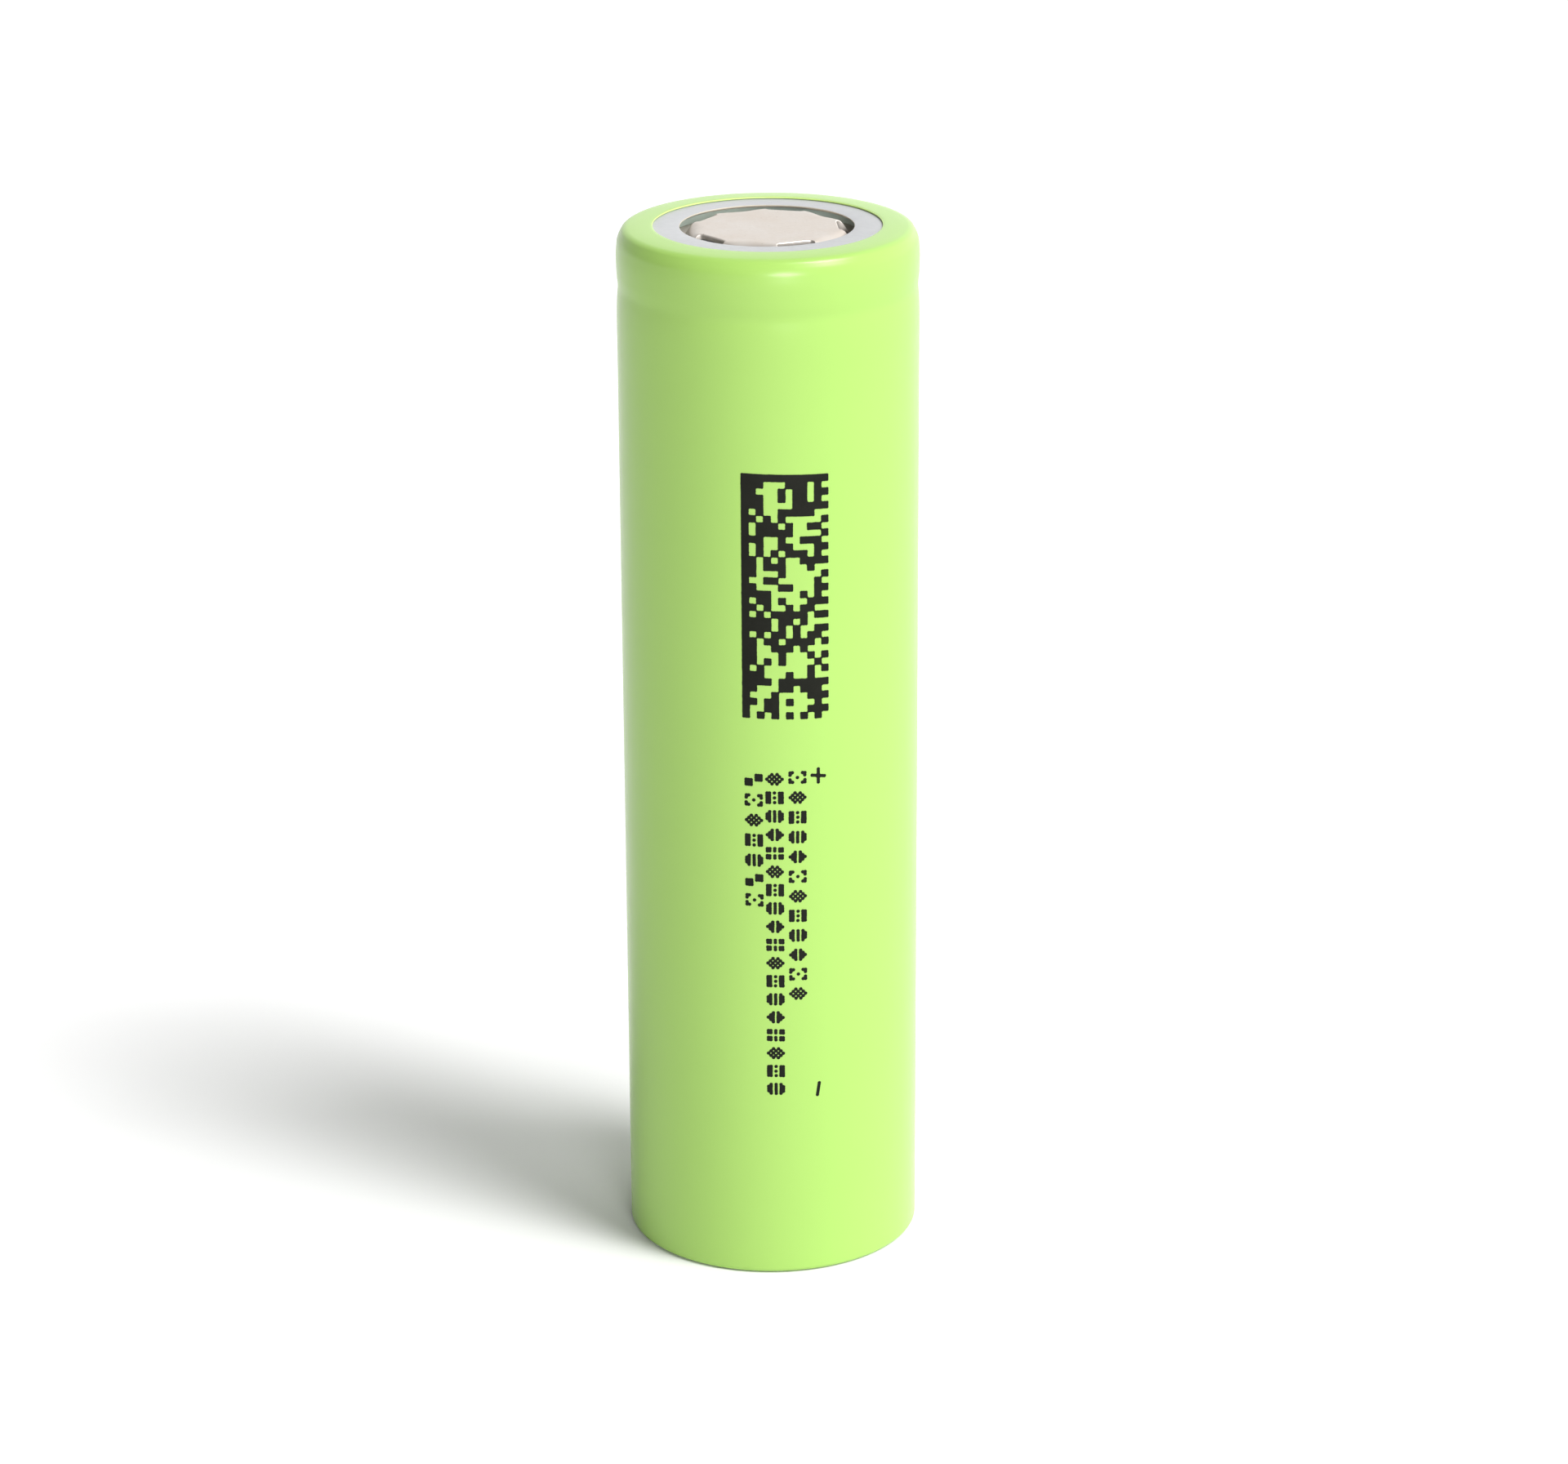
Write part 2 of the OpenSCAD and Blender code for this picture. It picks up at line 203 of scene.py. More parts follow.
def material(name, colour, second=None, metallic=0.0, rough=(0.4, 0.5), grain=(20.0, 6.0), bump=(0.0, 60.0),
             stretch=(1, 1, 1), specular=0.5, specks=None):
    """Procedural Principled material.
    second is the colour that large soft patches drift to, rough the lowest and highest roughness,
    grain the noise scale per centimetre and its detail, bump its height in micrometres and its scale,
    stretch squeezes the noise along an axis, and specks is (colour, scale, share) of fine spots."""
    made = bpy.data.materials.new(name)
    made.use_nodes = True
    tree = made.node_tree
    shader = tree.nodes["Principled BSDF"]
    shader.inputs["Metallic"].default_value = metallic
    shader.inputs["Specular IOR Level"].default_value = specular
    place = tree.nodes.new("ShaderNodeTexCoord")
    scale = tree.nodes.new("ShaderNodeMapping")
    scale.inputs["Scale"].default_value = [100 * s for s in stretch]
    tree.links.new(place.outputs["Object"], scale.inputs["Vector"])

    def noise(amount, detail):
        node = tree.nodes.new("ShaderNodeTexNoise")
        node.inputs["Scale"].default_value = amount
        node.inputs["Detail"].default_value = detail
        tree.links.new(scale.outputs["Vector"], node.inputs["Vector"])
        return node.outputs["Fac"]

    def mixed(factor, first, other):
        node = tree.nodes.new("ShaderNodeMix")
        node.data_type = "RGBA"
        tree.links.new(factor, node.inputs["Factor"])
        for socket, value in ((node.inputs["A"], first), (node.inputs["B"], other)):
            if isinstance(value, bpy.types.NodeSocket):
                tree.links.new(value, socket)
            else:
                socket.default_value = value
        return node.outputs["Result"]

    def ramp(factor, low, high, bottom, top):
        node = tree.nodes.new("ShaderNodeMapRange")
        node.inputs["From Min"].default_value = low
        node.inputs["From Max"].default_value = high
        node.inputs["To Min"].default_value = bottom
        node.inputs["To Max"].default_value = top
        tree.links.new(factor, node.inputs["Value"])
        return node.outputs["Result"]

    base = mixed(ramp(noise(grain[0] / 8, min(2, grain[1])), 0.3, 0.7, 0, 1), colour, second or colour)
    if specks is not None:
        spot_colour, spot_scale, share = specks
        base = mixed(ramp(noise(spot_scale, 1), 1 - share, 1.02 - share, 0, 1), base, spot_colour)
    tree.links.new(base, shader.inputs["Base Color"])
    tree.links.new(ramp(noise(*grain), 0.3, 0.7, *rough), shader.inputs["Roughness"])
    if bump[0] > 0:
        bumps = tree.nodes.new("ShaderNodeBump")
        bumps.inputs["Strength"].default_value = 1.0
        bumps.inputs["Distance"].default_value = bump[0] * 1e-6
        tree.links.new(noise(bump[1], 4), bumps.inputs["Height"])
        tree.links.new(bumps.outputs["Normal"], shader.inputs["Normal"])
    return made


film = material("lime_film", linear(154, 193, 96), linear(152, 191, 94), rough=(0.235, 0.265), grain=(3, 2),
                specular=0.35)
film_edge = material("lime_film_cut_edge", linear(196, 226, 130), rough=(0.35, 0.5), grain=(20, 4))
ink = material("print_ink", linear(14, 16, 8), linear(20, 21, 14), rough=(0.5, 0.65), grain=(40, 4),
               bump=(1.0, 90), specular=0.15)
board = material("washer_board", linear(176, 177, 179), linear(173, 175, 177), rough=(0.38, 0.5),
                 grain=(25, 6), bump=(1.0, 60))
board_edge = material("washer_cut_edge", linear(196, 188, 172), rough=(0.6, 0.8), grain=(60, 4),
                      bump=(3, 90))
cap_face = material("matt_nickel", linear(214, 207, 200), linear(210, 200, 190), metallic=0.75,
                    rough=(0.42, 0.55), grain=(40, 8), bump=(1.2, 90),
                    specks=(linear(176, 162, 148), 70, 0.24))
# Painted highlight: a lighter, glossier nickel on the drawn edges of the windows, standing in for the bright
# line where they catch the key light
painted_highlight_nickel = material("nickel_edge_painted_highlight", linear(240, 234, 226), linear(232, 224, 214), metallic=0.8,
                    rough=(0.3, 0.42), grain=(40, 4))
cap_cut = material("sheared_nickel_edge", linear(206, 200, 194), linear(190, 182, 174), metallic=0.8,
                   rough=(0.48, 0.6), grain=(60, 6), bump=(1.5, 80), stretch=(1, 1, 0.2))
steel = material("nickel_plated_steel", linear(206, 204, 198), linear(196, 193, 186), metallic=1.0,
                 rough=(0.29, 0.42), grain=(18, 8), bump=(0.8, 30))
# Pale grey plastic; its green-teal tint is a painted reflection of the green sleeve
gasket = material("gasket_plastic", linear(200, 217, 208), linear(192, 210, 201), rough=(0.3, 0.45),
                  grain=(10, 4), bump=(1.0, 30))
aluminium = material("rolled_aluminium", linear(208, 210, 214), linear(196, 199, 204), metallic=1.0,
                     rough=(0.3, 0.45), grain=(25, 6), bump=(1.0, 40), stretch=(1, 1, 0.1))
copper = material("copper_foil", linear(214, 138, 98), linear(200, 120, 82), metallic=1.0, rough=(0.25, 0.4),
                  grain=(25, 6), stretch=(1, 1, 0.1))
oxide = material("oxide_coating", linear(46, 46, 50), linear(38, 38, 42), rough=(0.7, 0.9), grain=(80, 8),
                 bump=(2, 120))
graphite = material("graphite_coating", linear(66, 66, 70), linear(56, 56, 60), rough=(0.45, 0.65),
                    grain=(80, 8), bump=(2, 120))
separator = material("separator_film", linear(244, 244, 240), linear(236, 236, 234), rough=(0.45, 0.6),
                     grain=(30, 4), bump=(1, 60))
insulator = material("insulator_plastic", linear(228, 228, 218), linear(220, 220, 208), rough=(0.4, 0.6),
                     grain=(20, 4), bump=(1, 50))
fuse = material("fuse_polymer", linear(96, 88, 78), linear(84, 76, 66), rough=(0.5, 0.7), grain=(30, 6),
                bump=(2, 60))
blue_tape = material("blue_tape", linear(92, 156, 206), linear(84, 148, 200), rough=(0.25, 0.4),
                     grain=(15, 4), bump=(1, 30))
amber_tape = material("amber_tape", linear(206, 140, 48), linear(196, 128, 40), rough=(0.2, 0.35),
                      grain=(15, 4), bump=(1, 30))
tab_nickel = material("nickel_strip", linear(200, 197, 190), linear(188, 185, 178), metallic=1.0,
                      rough=(0.28, 0.42), grain=(20, 6), bump=(1, 40), stretch=(1, 1, 0.15))

NODE_MATERIALS = {
    "ptc_ring": fuse, "interrupter_ring": insulator, "interrupter_plate": aluminium,
    "interrupter_disc": aluminium, "cathode_tab": aluminium, "anode_tab": tab_nickel,
    "upper_insulator": insulator, "lower_insulator": insulator, "centre_pin": steel,
    "cathode_foil": aluminium, "cathode_coating": oxide, "anode_foil": copper, "anode_coating": graphite,
    "inner_separator": separator, "outer_separator": separator, "winding_tape": blue_tape,
    "cathode_tab_tape": amber_tape, "anode_tab_tape": amber_tape,
}


def finish_cad_nodes():
    """Gives the CAD nodes that stay as they are their procedural materials."""
    for name, made in NODE_MATERIALS.items():
        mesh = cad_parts[name].data
        mesh.materials.clear()
        mesh.materials.append(made)


# ---------------------------------------------------------------- sleeve

film_drift = waves(3, 6, 1, 5)
top_cut = waves(11, 8, 2, 17)
base_cut = waves(12, 8, 3, 21)
pleats = waves(13, 9, 24, 70)


def bell(z, middle, width):
    """Smooth hump of height 1."""
    return np.exp(-((z - middle) / width) ** 2)


def film_relief(angle, z):
    """How far the film stands off a true cylinder, in millimetres: the bead below it shows faintly."""
    waist = 0.055 * bell(z, BEAD_Z, 0.52) + 0.03 * bell(z, BEAD_Z - 0.3, 1.0)
    bead = 0.015 * bell(z, BEAD_Z + 1.75, 0.5) - waist + 0.01 * bell(z, BEAD_Z - 2, 0.9)
    ripples = 0.004 * bell(z, BEAD_Z - 2.9, 0.35) + 0.005 * bell(z, BEAD_Z - 3.9, 0.3)
    return bead + ripples + 0.003 * film_drift(angle + 0.05 * z)


def sleeve_shape(angle, radius, height):
    """Relief of the film, its slightly uneven cut edges, and the pleats of the bottom fold."""
    outer = np.clip((radius - (SKIN_R - 0.03)) / 0.02, 0, 1)
    inner = np.clip(1 - abs(radius - (SKIN_R - FILM + 0.015)) / 0.02, 0, 1)
    radius = radius + outer * film_relief(angle, height) - inner * 0.05 * bell(height, BEAD_Z, 0.4)
    top = np.clip((height - (SLEEVE_HIGH - 0.2)) / 0.1, 0, 1) * np.clip((7.5 - radius) / 0.6, 0, 1)
    base = np.clip((0.2 - height) / 0.1, 0, 1) * np.clip((8.3 - radius) / 0.9, 0, 1)
    radius = radius + top * 0.02 * top_cut(angle) + base * 0.07 * base_cut(angle)
    height = height + base * 0.012 * (1 + pleats(angle))
    return radius, height


def sleeve_section():
    """Section of the film with its folds, and the rows of faces that are its cut edges."""
    edge = 0.035   # rounding of the cut edges
    # The shoulder as (distance from the wall's radius, height from the top)
    shoulder = [(-0.95, -0.05), (-0.69, -0.08), (-0.51, -0.14), (-0.36, -0.25), (-0.25, -0.43),
                (-0.15, -0.63), (-0.07, -0.87), (-0.03, -1.15), (-0.005, -1.5), (0, -1.9)]
    shoulder = [(SKIN_R + dr, SLEEVE_HIGH + dz) for dr, dz in shoulder]
    outside = smooth_curve(shoulder, 4)
    wall_top = shoulder[-1][1]
    dip = [(SKIN_R, z) for z in spread(wall_top - 0.15, 57, 56)]
    wall = [(SKIN_R, z) for z in spread(56, 1.2, 36)]
    foot_r = 0.32
    foot = [(SKIN_R - foot_r + foot_r * math.cos(a), SLEEVE_LOW + foot_r - foot_r * math.sin(a))
            for a in spread(0, math.pi / 2, 9)]
    under = [(r, SLEEVE_LOW) for r in spread(SKIN_R - foot_r - 0.15, FOLD_BASE_R + edge, 9)]
    base_edge = [(FOLD_BASE_R, SLEEVE_LOW + edge), (FOLD_BASE_R, SLEEVE_LOW + FILM - edge),
                 (FOLD_BASE_R + edge, SLEEVE_LOW + FILM)]
    inner_r = SKIN_R - FILM + 0.015
    inside_base = [(8.0, SLEEVE_LOW + FILM), (inner_r - 0.22, SLEEVE_LOW + FILM),
                   (inner_r - 0.07, SLEEVE_LOW + FILM + 0.07), (inner_r, SLEEVE_LOW + FILM + 0.22)]
    inside_wall = [(inner_r, z) for z in spread(1.2, 56, 36)]
    inside_dip = [(inner_r, z) for z in spread(57, wall_top - 0.15, 56)]
    inside_top = [(r - FILM * (0.9 if z < SLEEVE_HIGH - 0.3 else 0.45), z - FILM) for r, z in shoulder[::-1]]
    top_under = [(7.6, SLEEVE_HIGH - FILM), (FOLD_TOP_R + edge, SLEEVE_HIGH - FILM)]
    top_edge = [(FOLD_TOP_R, SLEEVE_HIGH - FILM + edge), (FOLD_TOP_R, SLEEVE_HIGH - edge),
                (FOLD_TOP_R + edge * 0.3, SLEEVE_HIGH - edge * 0.3), (FOLD_TOP_R + edge, SLEEVE_HIGH)]
    top = [(r, SLEEVE_HIGH - 0.04 * (r - 7.1) ** 1.5) for r in spread(7.1, 8.05, 8)]
    parts = [top_edge, top, outside, dip, wall, foot, under, base_edge, inside_base, inside_wall, inside_dip,
             inside_top, top_under]
    points = np.vstack([np.array(p, float) for p in parts])
    starts = np.cumsum([0] + [len(p) for p in parts])
    top_cut_rows = range(starts[0] - 1, starts[0] + 3)
    base_cut_rows = range(starts[7] - 1, starts[8])
    count = len(points)
    return points[::-1], {(count - 2 - i) % count for i in (*top_cut_rows, *base_cut_rows)}


def make_sleeve():
    section, cut_rows = sleeve_section()
    sleeve = turned("shrink_sleeve", section, [film, film_edge], segments=384, shape=sleeve_shape,
                    edge_rows=cut_rows)
    stands_for("sleeve")


# ---------------------------------------------------------------- washer, can and gasket

washer_wave = waves(21, 5, 1, 4)


def washer_shape(angle, radius, height):
    """The board lies a few micrometres uneven, and its hole is a little out of round and off centre."""
    near_hole = np.clip((5.6 - radius) / 0.18, 0, 1)
    off_centre = 0.08 * np.cos(angle - math.radians(120))
    radius = radius + near_hole * (off_centre + 0.012 * washer_wave(2 * angle))
    return radius, height + 0.004 * washer_wave(angle)


def make_washer():
    hole_r, hole_low_r = 5.25, 5.42   # the punched hole widens downwards
    ring = rounded_outline([(hole_low_r, WASHER_LOW, 0.02), (WASHER_R, WASHER_LOW, 0.03),
                            (WASHER_R, WASHER_HIGH, 0.03), (hole_r, WASHER_HIGH, 0.02),
                            (hole_r, WASHER_HIGH - 0.07, 0.02)], 3)
    hole_rows = {i for i in range(len(ring)) if max(ring[i][0], ring[(i + 1) % len(ring)][0]) < 5.45}
    washer = turned("insulating_washer", ring, [board, board_edge], shape=washer_shape, edge_rows=hole_rows)
    stands_for("top_washer")


def can_section():
    """From the middle of the base, out and up the wall, over the bead and the lip, and back inside."""
    wall = 0.2
    inner_r = CAN_R - wall
    floor = CAN_LOW + 0.3
    half = 0.45
    nose_r = CAN_R - half
    lip_r = 6.5
    shoulder = 0.98
    corner_r = CAN_R - shoulder
    corner_z = CAN_HIGH - shoulder

    def arc(centre_r, centre_z, radius, start, end, steps):
        return [(centre_r + radius * math.cos(a), centre_z + radius * math.sin(a))
                for a in np.radians(spread(start, end, steps))]

    base = [(0, CAN_LOW), (3.0, CAN_LOW), (6.0, CAN_LOW), (6.66, CAN_LOW), (6.72, CAN_LOW + 0.05),
            (6.98, CAN_LOW + 0.05), (7.04, CAN_LOW), (8.4, CAN_LOW)]
    foot = arc(CAN_R - 0.25, CAN_LOW + 0.25, 0.25, -90, 0, 7)
    wall_out = [(CAN_R, z) for z in spread(2, BEAD_Z - 1.5, 20)]
    groove = [(CAN_R, BEAD_Z - 0.68), (CAN_R - 0.04, BEAD_Z - 0.53), (CAN_R - 0.16, BEAD_Z - half)]
    groove += arc(nose_r, BEAD_Z, half, 270, 90, 13)
    groove += [(CAN_R - 0.16, BEAD_Z + half), (CAN_R - 0.04, BEAD_Z + 0.53), (CAN_R, BEAD_Z + 0.68)]
    over = [(CAN_R, BEAD_Z + 1.4)] + arc(corner_r, corner_z, shoulder, 0, 90, 12)
    lip = [(lip_r + 0.06, CAN_HIGH), (lip_r, CAN_HIGH - 0.06), (lip_r, CAN_HIGH - 0.14),
           (lip_r + 0.06, CAN_HIGH - wall)]
    under_lip = arc(corner_r, corner_z, shoulder - wall, 90, 0, 9)
    bulge = [(inner_r, BEAD_Z + half + wall)] + arc(nose_r, BEAD_Z, half + wall, 90, 270, 15)
    bulge += [(inner_r, BEAD_Z - half - wall)]
    wall_in = [(inner_r, z) for z in spread(BEAD_Z - 1.5, 2, 20)]
    inside = [(inner_r, floor + 0.1), (inner_r - 0.03, floor + 0.03), (inner_r - 0.1, floor), (4.0, floor),
              (0, floor)]
    return np.array(base + foot + wall_out + groove + over + lip + under_lip + bulge + wall_in + inside)


def make_can():
    can = turned("steel_can_shell", can_section(), [steel], pole=True)
    stands_for("steel_can")


def make_gasket():
    """Moulding between the can and the header, with a thin collar inside the can's lip."""
    header_r = CAP_R + 0.02
    foot_r, collar_r, collar_outer_r = 6.2, 6.3, 6.5
    under_lip = GASKET_HIGH - 0.22
    corners = [
        (foot_r, GASKET_LOW, 0.05), (GASKET_R, GASKET_LOW, 0.1), (GASKET_R, under_lip, 0.7),
        (collar_outer_r, under_lip, 0.02), (collar_outer_r - 0.02, GASKET_HIGH, 0.05),
        (collar_r, GASKET_HIGH, 0.05), (collar_r, FLANGE_TOP, 0.03), (header_r, FLANGE_TOP, 0.02),
        (header_r, PLATE_LOW, 0.02), (foot_r, PLATE_LOW, 0.05),
    ]
    seal = turned("crimp_seal", rounded_outline(corners, 5), [gasket])
    stands_for("crimp_gasket")


# ---------------------------------------------------------------- positive cap

CAP_FLAT_R = 4.5                # flat top beside the windows
LEG_BEND_R = 3.9                # where the middle of each leg starts to bend down
CAP_BEND = 0.3                  # radius of that bend
CAP_LEAN = math.radians(35)     # lean of the legs from upright
WINDOW_R, WINDOW_OUT = 4.2, 5.2     # inner and outer edges of the windows
WINDOW_HALF = 1.2
WINDOW_TURN = math.radians(4)   # direction of the first window
# How far the punch drew down the edge of each window, counter-clockwise from the first; the fourth window's
# larger roll also keeps the painted highlight off its edge, as that window faces away from the key light
DIE_ROLL = [0.06, 0.06, 0.06, 0.1, 0.06]
NO_HIGHLIGHT_ROLL = 0.1                 # from this roll on, an edge gets no painted highlight


def hat_height(radius, angle, bend, top, foot):
    """Height of the cap's surface: flat, bend, leaning wall, and a soft foot on the flange.
    The bend starts sooner and is rounder in the middle of a leg than beside a window."""
    slope = 1 / math.tan(CAP_LEAN)
    in_leg = 0.5 - 0.5 * np.cos(len(DIE_ROLL) * (angle - WINDOW_TURN))
    ease = in_leg ** 2 * (CAP_FLAT_R - LEG_BEND_R)
    bend = bend + 1.3 * ease
    flat_r = CAP_FLAT_R - ease
    tangent_r = flat_r + bend * math.cos(CAP_LEAN)
    tangent_z = top - bend + bend * math.sin(CAP_LEAN)
    inside = np.clip(radius - flat_r, 0, bend * math.cos(CAP_LEAN))
    head = top - bend + np.sqrt(bend ** 2 - inside ** 2)
    wall = tangent_z - (radius - tangent_r) * slope
    height = np.where(radius < tangent_r, head, wall)
    soft = 0.05
    return foot + soft * np.logaddexp(0, (height - foot) / soft)


def window_outline(roll_gap=0.0):
    """Outline of one gas window round +X, counter-clockwise, moved outwards by a gap."""
    side = math.asin(WINDOW_HALF / WINDOW_OUT)
    arc = [(WINDOW_OUT * math.cos(a), WINDOW_OUT * math.sin(a), 0)
           for a in spread(-side * 0.85, side * 0.85, 13)]
    foot_x = math.sqrt(WINDOW_OUT ** 2 - WINDOW_HALF ** 2)
    corners = [(WINDOW_R, WINDOW_HALF, 0.3), (WINDOW_R, -WINDOW_HALF, 0.3), (foot_x, -WINDOW_HALF, 0.1),
               *arc, (foot_x, WINDOW_HALF, 0.1)]
    line = rounded_outline(corners, 5)
    ahead, behind = np.roll(line, -1, 0), np.roll(line, 1, 0)
    along = ahead - behind
    along /= np.linalg.norm(along, axis=1)[:, None]
    outwards = np.stack([along[:, 1], -along[:, 0]], -1)
    dense = []
    moved = line + outwards * roll_gap
    for a, b in zip(moved, np.roll(moved, -1, 0)):
        steps = max(1, round(np.linalg.norm(b - a) / 0.14))
        dense += [a + (b - a) * k / steps for k in range(steps)]
    return np.array(dense)


def turned_by(points, angle):
    """(x, y) points turned counter-clockwise round the axis."""
    c, s = math.cos(angle), math.sin(angle)
    return points @ np.array([[c, s], [-s, c]])


def distance_to_line(points, line):
    """Distance from each point to a closed outline, negative inside it."""
    nearest = np.full(len(points), 1e9)
    inside = np.zeros(len(points), bool)
    for a, b in zip(line, np.roll(line, -1, 0)):
        run = b - a
        t = np.clip(((points - a) @ run) / (run @ run), 0, 1)
        nearest = np.minimum(nearest, np.linalg.norm(points - a - t[:, None] * run, axis=1))
        crosses = (a[1] > points[:, 1]) != (b[1] > points[:, 1])
        with np.errstate(divide="ignore", invalid="ignore"):
            x = a[0] + (points[:, 1] - a[1]) * run[0] / run[1]
        inside ^= crosses & (points[:, 0] < x)
    return np.where(inside, -nearest, nearest)


def cap_mesh():
    """Stamped sheet: one plan triangulated with its windows, raised to the upper and the lower surface."""
    windows = len(DIE_ROLL)
    points, edges, outlines = [], [], []
    for i, roll in enumerate(DIE_ROLL):
        for share in (0, 0.13, 0.5, 1, 1.7):
            loop = turned_by(window_outline(roll * share), WINDOW_TURN + i * TURN / windows)
            first = len(points)
            points += list(loop)
            edges += [(first + k, first + (k + 1) % len(loop)) for k in range(len(loop))]
            if share == 0:
                outlines.append(loop)
    # Rings of points, close together where the sheet bends
    radii = [0.4, 0.8, 1.2, 1.6, 2, 2.4, 2.8, 3.2, 3.6, 3.9, 4.15, 4.35, 4.5, 4.56, 4.62, 4.68, 4.74, 4.85,
             4.98, 5.1, 5.16, 5.22, 5.28, 5.34, 5.42, 5.55, 5.8, 6.3, 7.0, 7.6, CAP_R]
    plan = [np.zeros(2)]
    for radius in radii:
        steps = 240 if radius >= CAP_R else max(8, round(TURN * radius / 0.16))
        ring_points = [np.array([radius * math.cos(a), radius * math.sin(a)])
                       for a in np.arange(steps) * TURN / steps]
        if radius >= CAP_R:
            first = len(points)
            points += ring_points
            edges += [(first + k, first + (k + 1) % steps) for k in range(steps)]
        else:
            plan += ring_points
    plan = np.array(plan)
    clear = np.min([distance_to_line(plan, line) - 1.9 * roll for line, roll in zip(outlines, DIE_ROLL)],
                   axis=0)
    points += list(plan[clear > 0.02])
    vertices, _, triangles, *_ = delaunay_2d_cdt([Vector(p) for p in points], edges, [], 0, 1e-6, False)
    flat = np.array([tuple(v) for v in vertices])
    middles = np.array([flat[list(t)].mean(0) for t in triangles])
    in_window = np.min([distance_to_line(middles, line) for line in outlines], axis=0) < 0
    triangles = [tuple(t) for t, hole in zip(triangles, in_window) if not hole]
    radius = np.linalg.norm(flat, axis=1)
    angle = np.arctan2(flat[:, 1], flat[:, 0])
    drop, bright = np.zeros(len(flat)), np.zeros(len(flat))
    for line, roll in zip(outlines, DIE_ROLL):
        gap = np.clip(distance_to_line(flat, line), 0, roll)
        drawn = roll - np.sqrt(np.maximum(0, roll ** 2 - (roll - gap) ** 2))
        drop = np.maximum(drop, drawn)
        # bright marks where the painted highlight goes: the drawn part of each window edge whose roll is
        # below the limit
        bright = np.maximum(bright, drawn * (roll < NO_HIGHLIGHT_ROLL))
    upper = hat_height(radius, angle, CAP_BEND, CAP_HIGH, FLANGE_TOP) - drop
    lower = hat_height(radius + 0.16, angle, 0.06, CAP_HIGH - CAP_SHEET, CAP_LOW)
    lower = np.minimum(lower, upper - 0.1)
    count = len(flat)
    vertices = [(x, y, z) for (x, y), z in zip(flat, upper)] + [(x, y, z) for (x, y), z in zip(flat, lower)]
    faces = list(triangles)
    # Upper faces along those edges, inside the flange, take the painted highlight; the rest take the plain
    # nickel, and the cut faces the sheared nickel
    which = [1 if max(bright[list(t)]) > 0.004 and radius[list(t)].mean() < 5 else 0 for t in triangles]
    faces += [tuple(count + k for k in reversed(t)) for t in triangles]
    which += [0] * len(triangles)
    sides = {(t[k], t[(k + 1) % 3]) for t in triangles for k in range(3)}
    for a, b in sorted(sides):
        if (b, a) not in sides:
            faces.append((b, a, count + a, count + b))
            which.append(0 if radius[a] > CAP_R - 0.1 else 2)
    return vertices, faces, which


def make_cap():
    vertices, faces, which = cap_mesh()
    cap = add_piece("positive_terminal", vertices, faces, [cap_face, painted_highlight_nickel, cap_cut], which)
    stands_for("positive_cap")


# ---------------------------------------------------------------- vent disc

RIM_LOW, RIM_HIGH = 63.27, 63.51   # faces of the disc's flat rim
DISH_DEPTH = 0.35


def vent_section():
    """Dished sheet with a flat middle and rim, and a score in its upper face along which it bursts."""
    dimple_r, dish_r, score_r, rim_r = 1.6, 5.6, 4.0, 8.05

    def height(r, face):
        share = min(1, max(0, (r - dimple_r) / (dish_r - dimple_r)))
        return face - DISH_DEPTH * (1 - share)

    lower = [0, 0.8, 1.5, 1.7, 2.6, 3.6, 4.6, 5.5, 5.7, 6.9, 8.0]
    upper = [8.0, 6.9, 5.6, 5.4, 4.8, score_r + 0.1, score_r, score_r - 0.1, 2.6, 1.6, 1.4, 0.8, 0]
    section = [(r, height(r, RIM_LOW)) for r in lower]
    section += [(rim_r, RIM_LOW + 0.05), (rim_r, RIM_HIGH - 0.05)]
    section += [(r, height(r + 0.1, RIM_HIGH) - (0.1 if r == score_r else 0)) for r in upper]
    return np.array(section)


def make_vent():
    """Dished disc with a flat rim, on a mesh of its own."""
    vent = turned("bursting_disc", vent_section(), [aluminium], segments=192, pole=True)
    stands_for("vent_disc")
    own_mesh(vent)


# ---------------------------------------------------------------- print on the sleeve

INK_PROUD = 0.008       # how far the ink stands off the film
INK_SUNK = 0.012        # how far its lower face lies inside the film
INK_GRID = 0.04         # grid on which its outline is found
FRONT = -math.pi / 2    # the printed side faces -Y


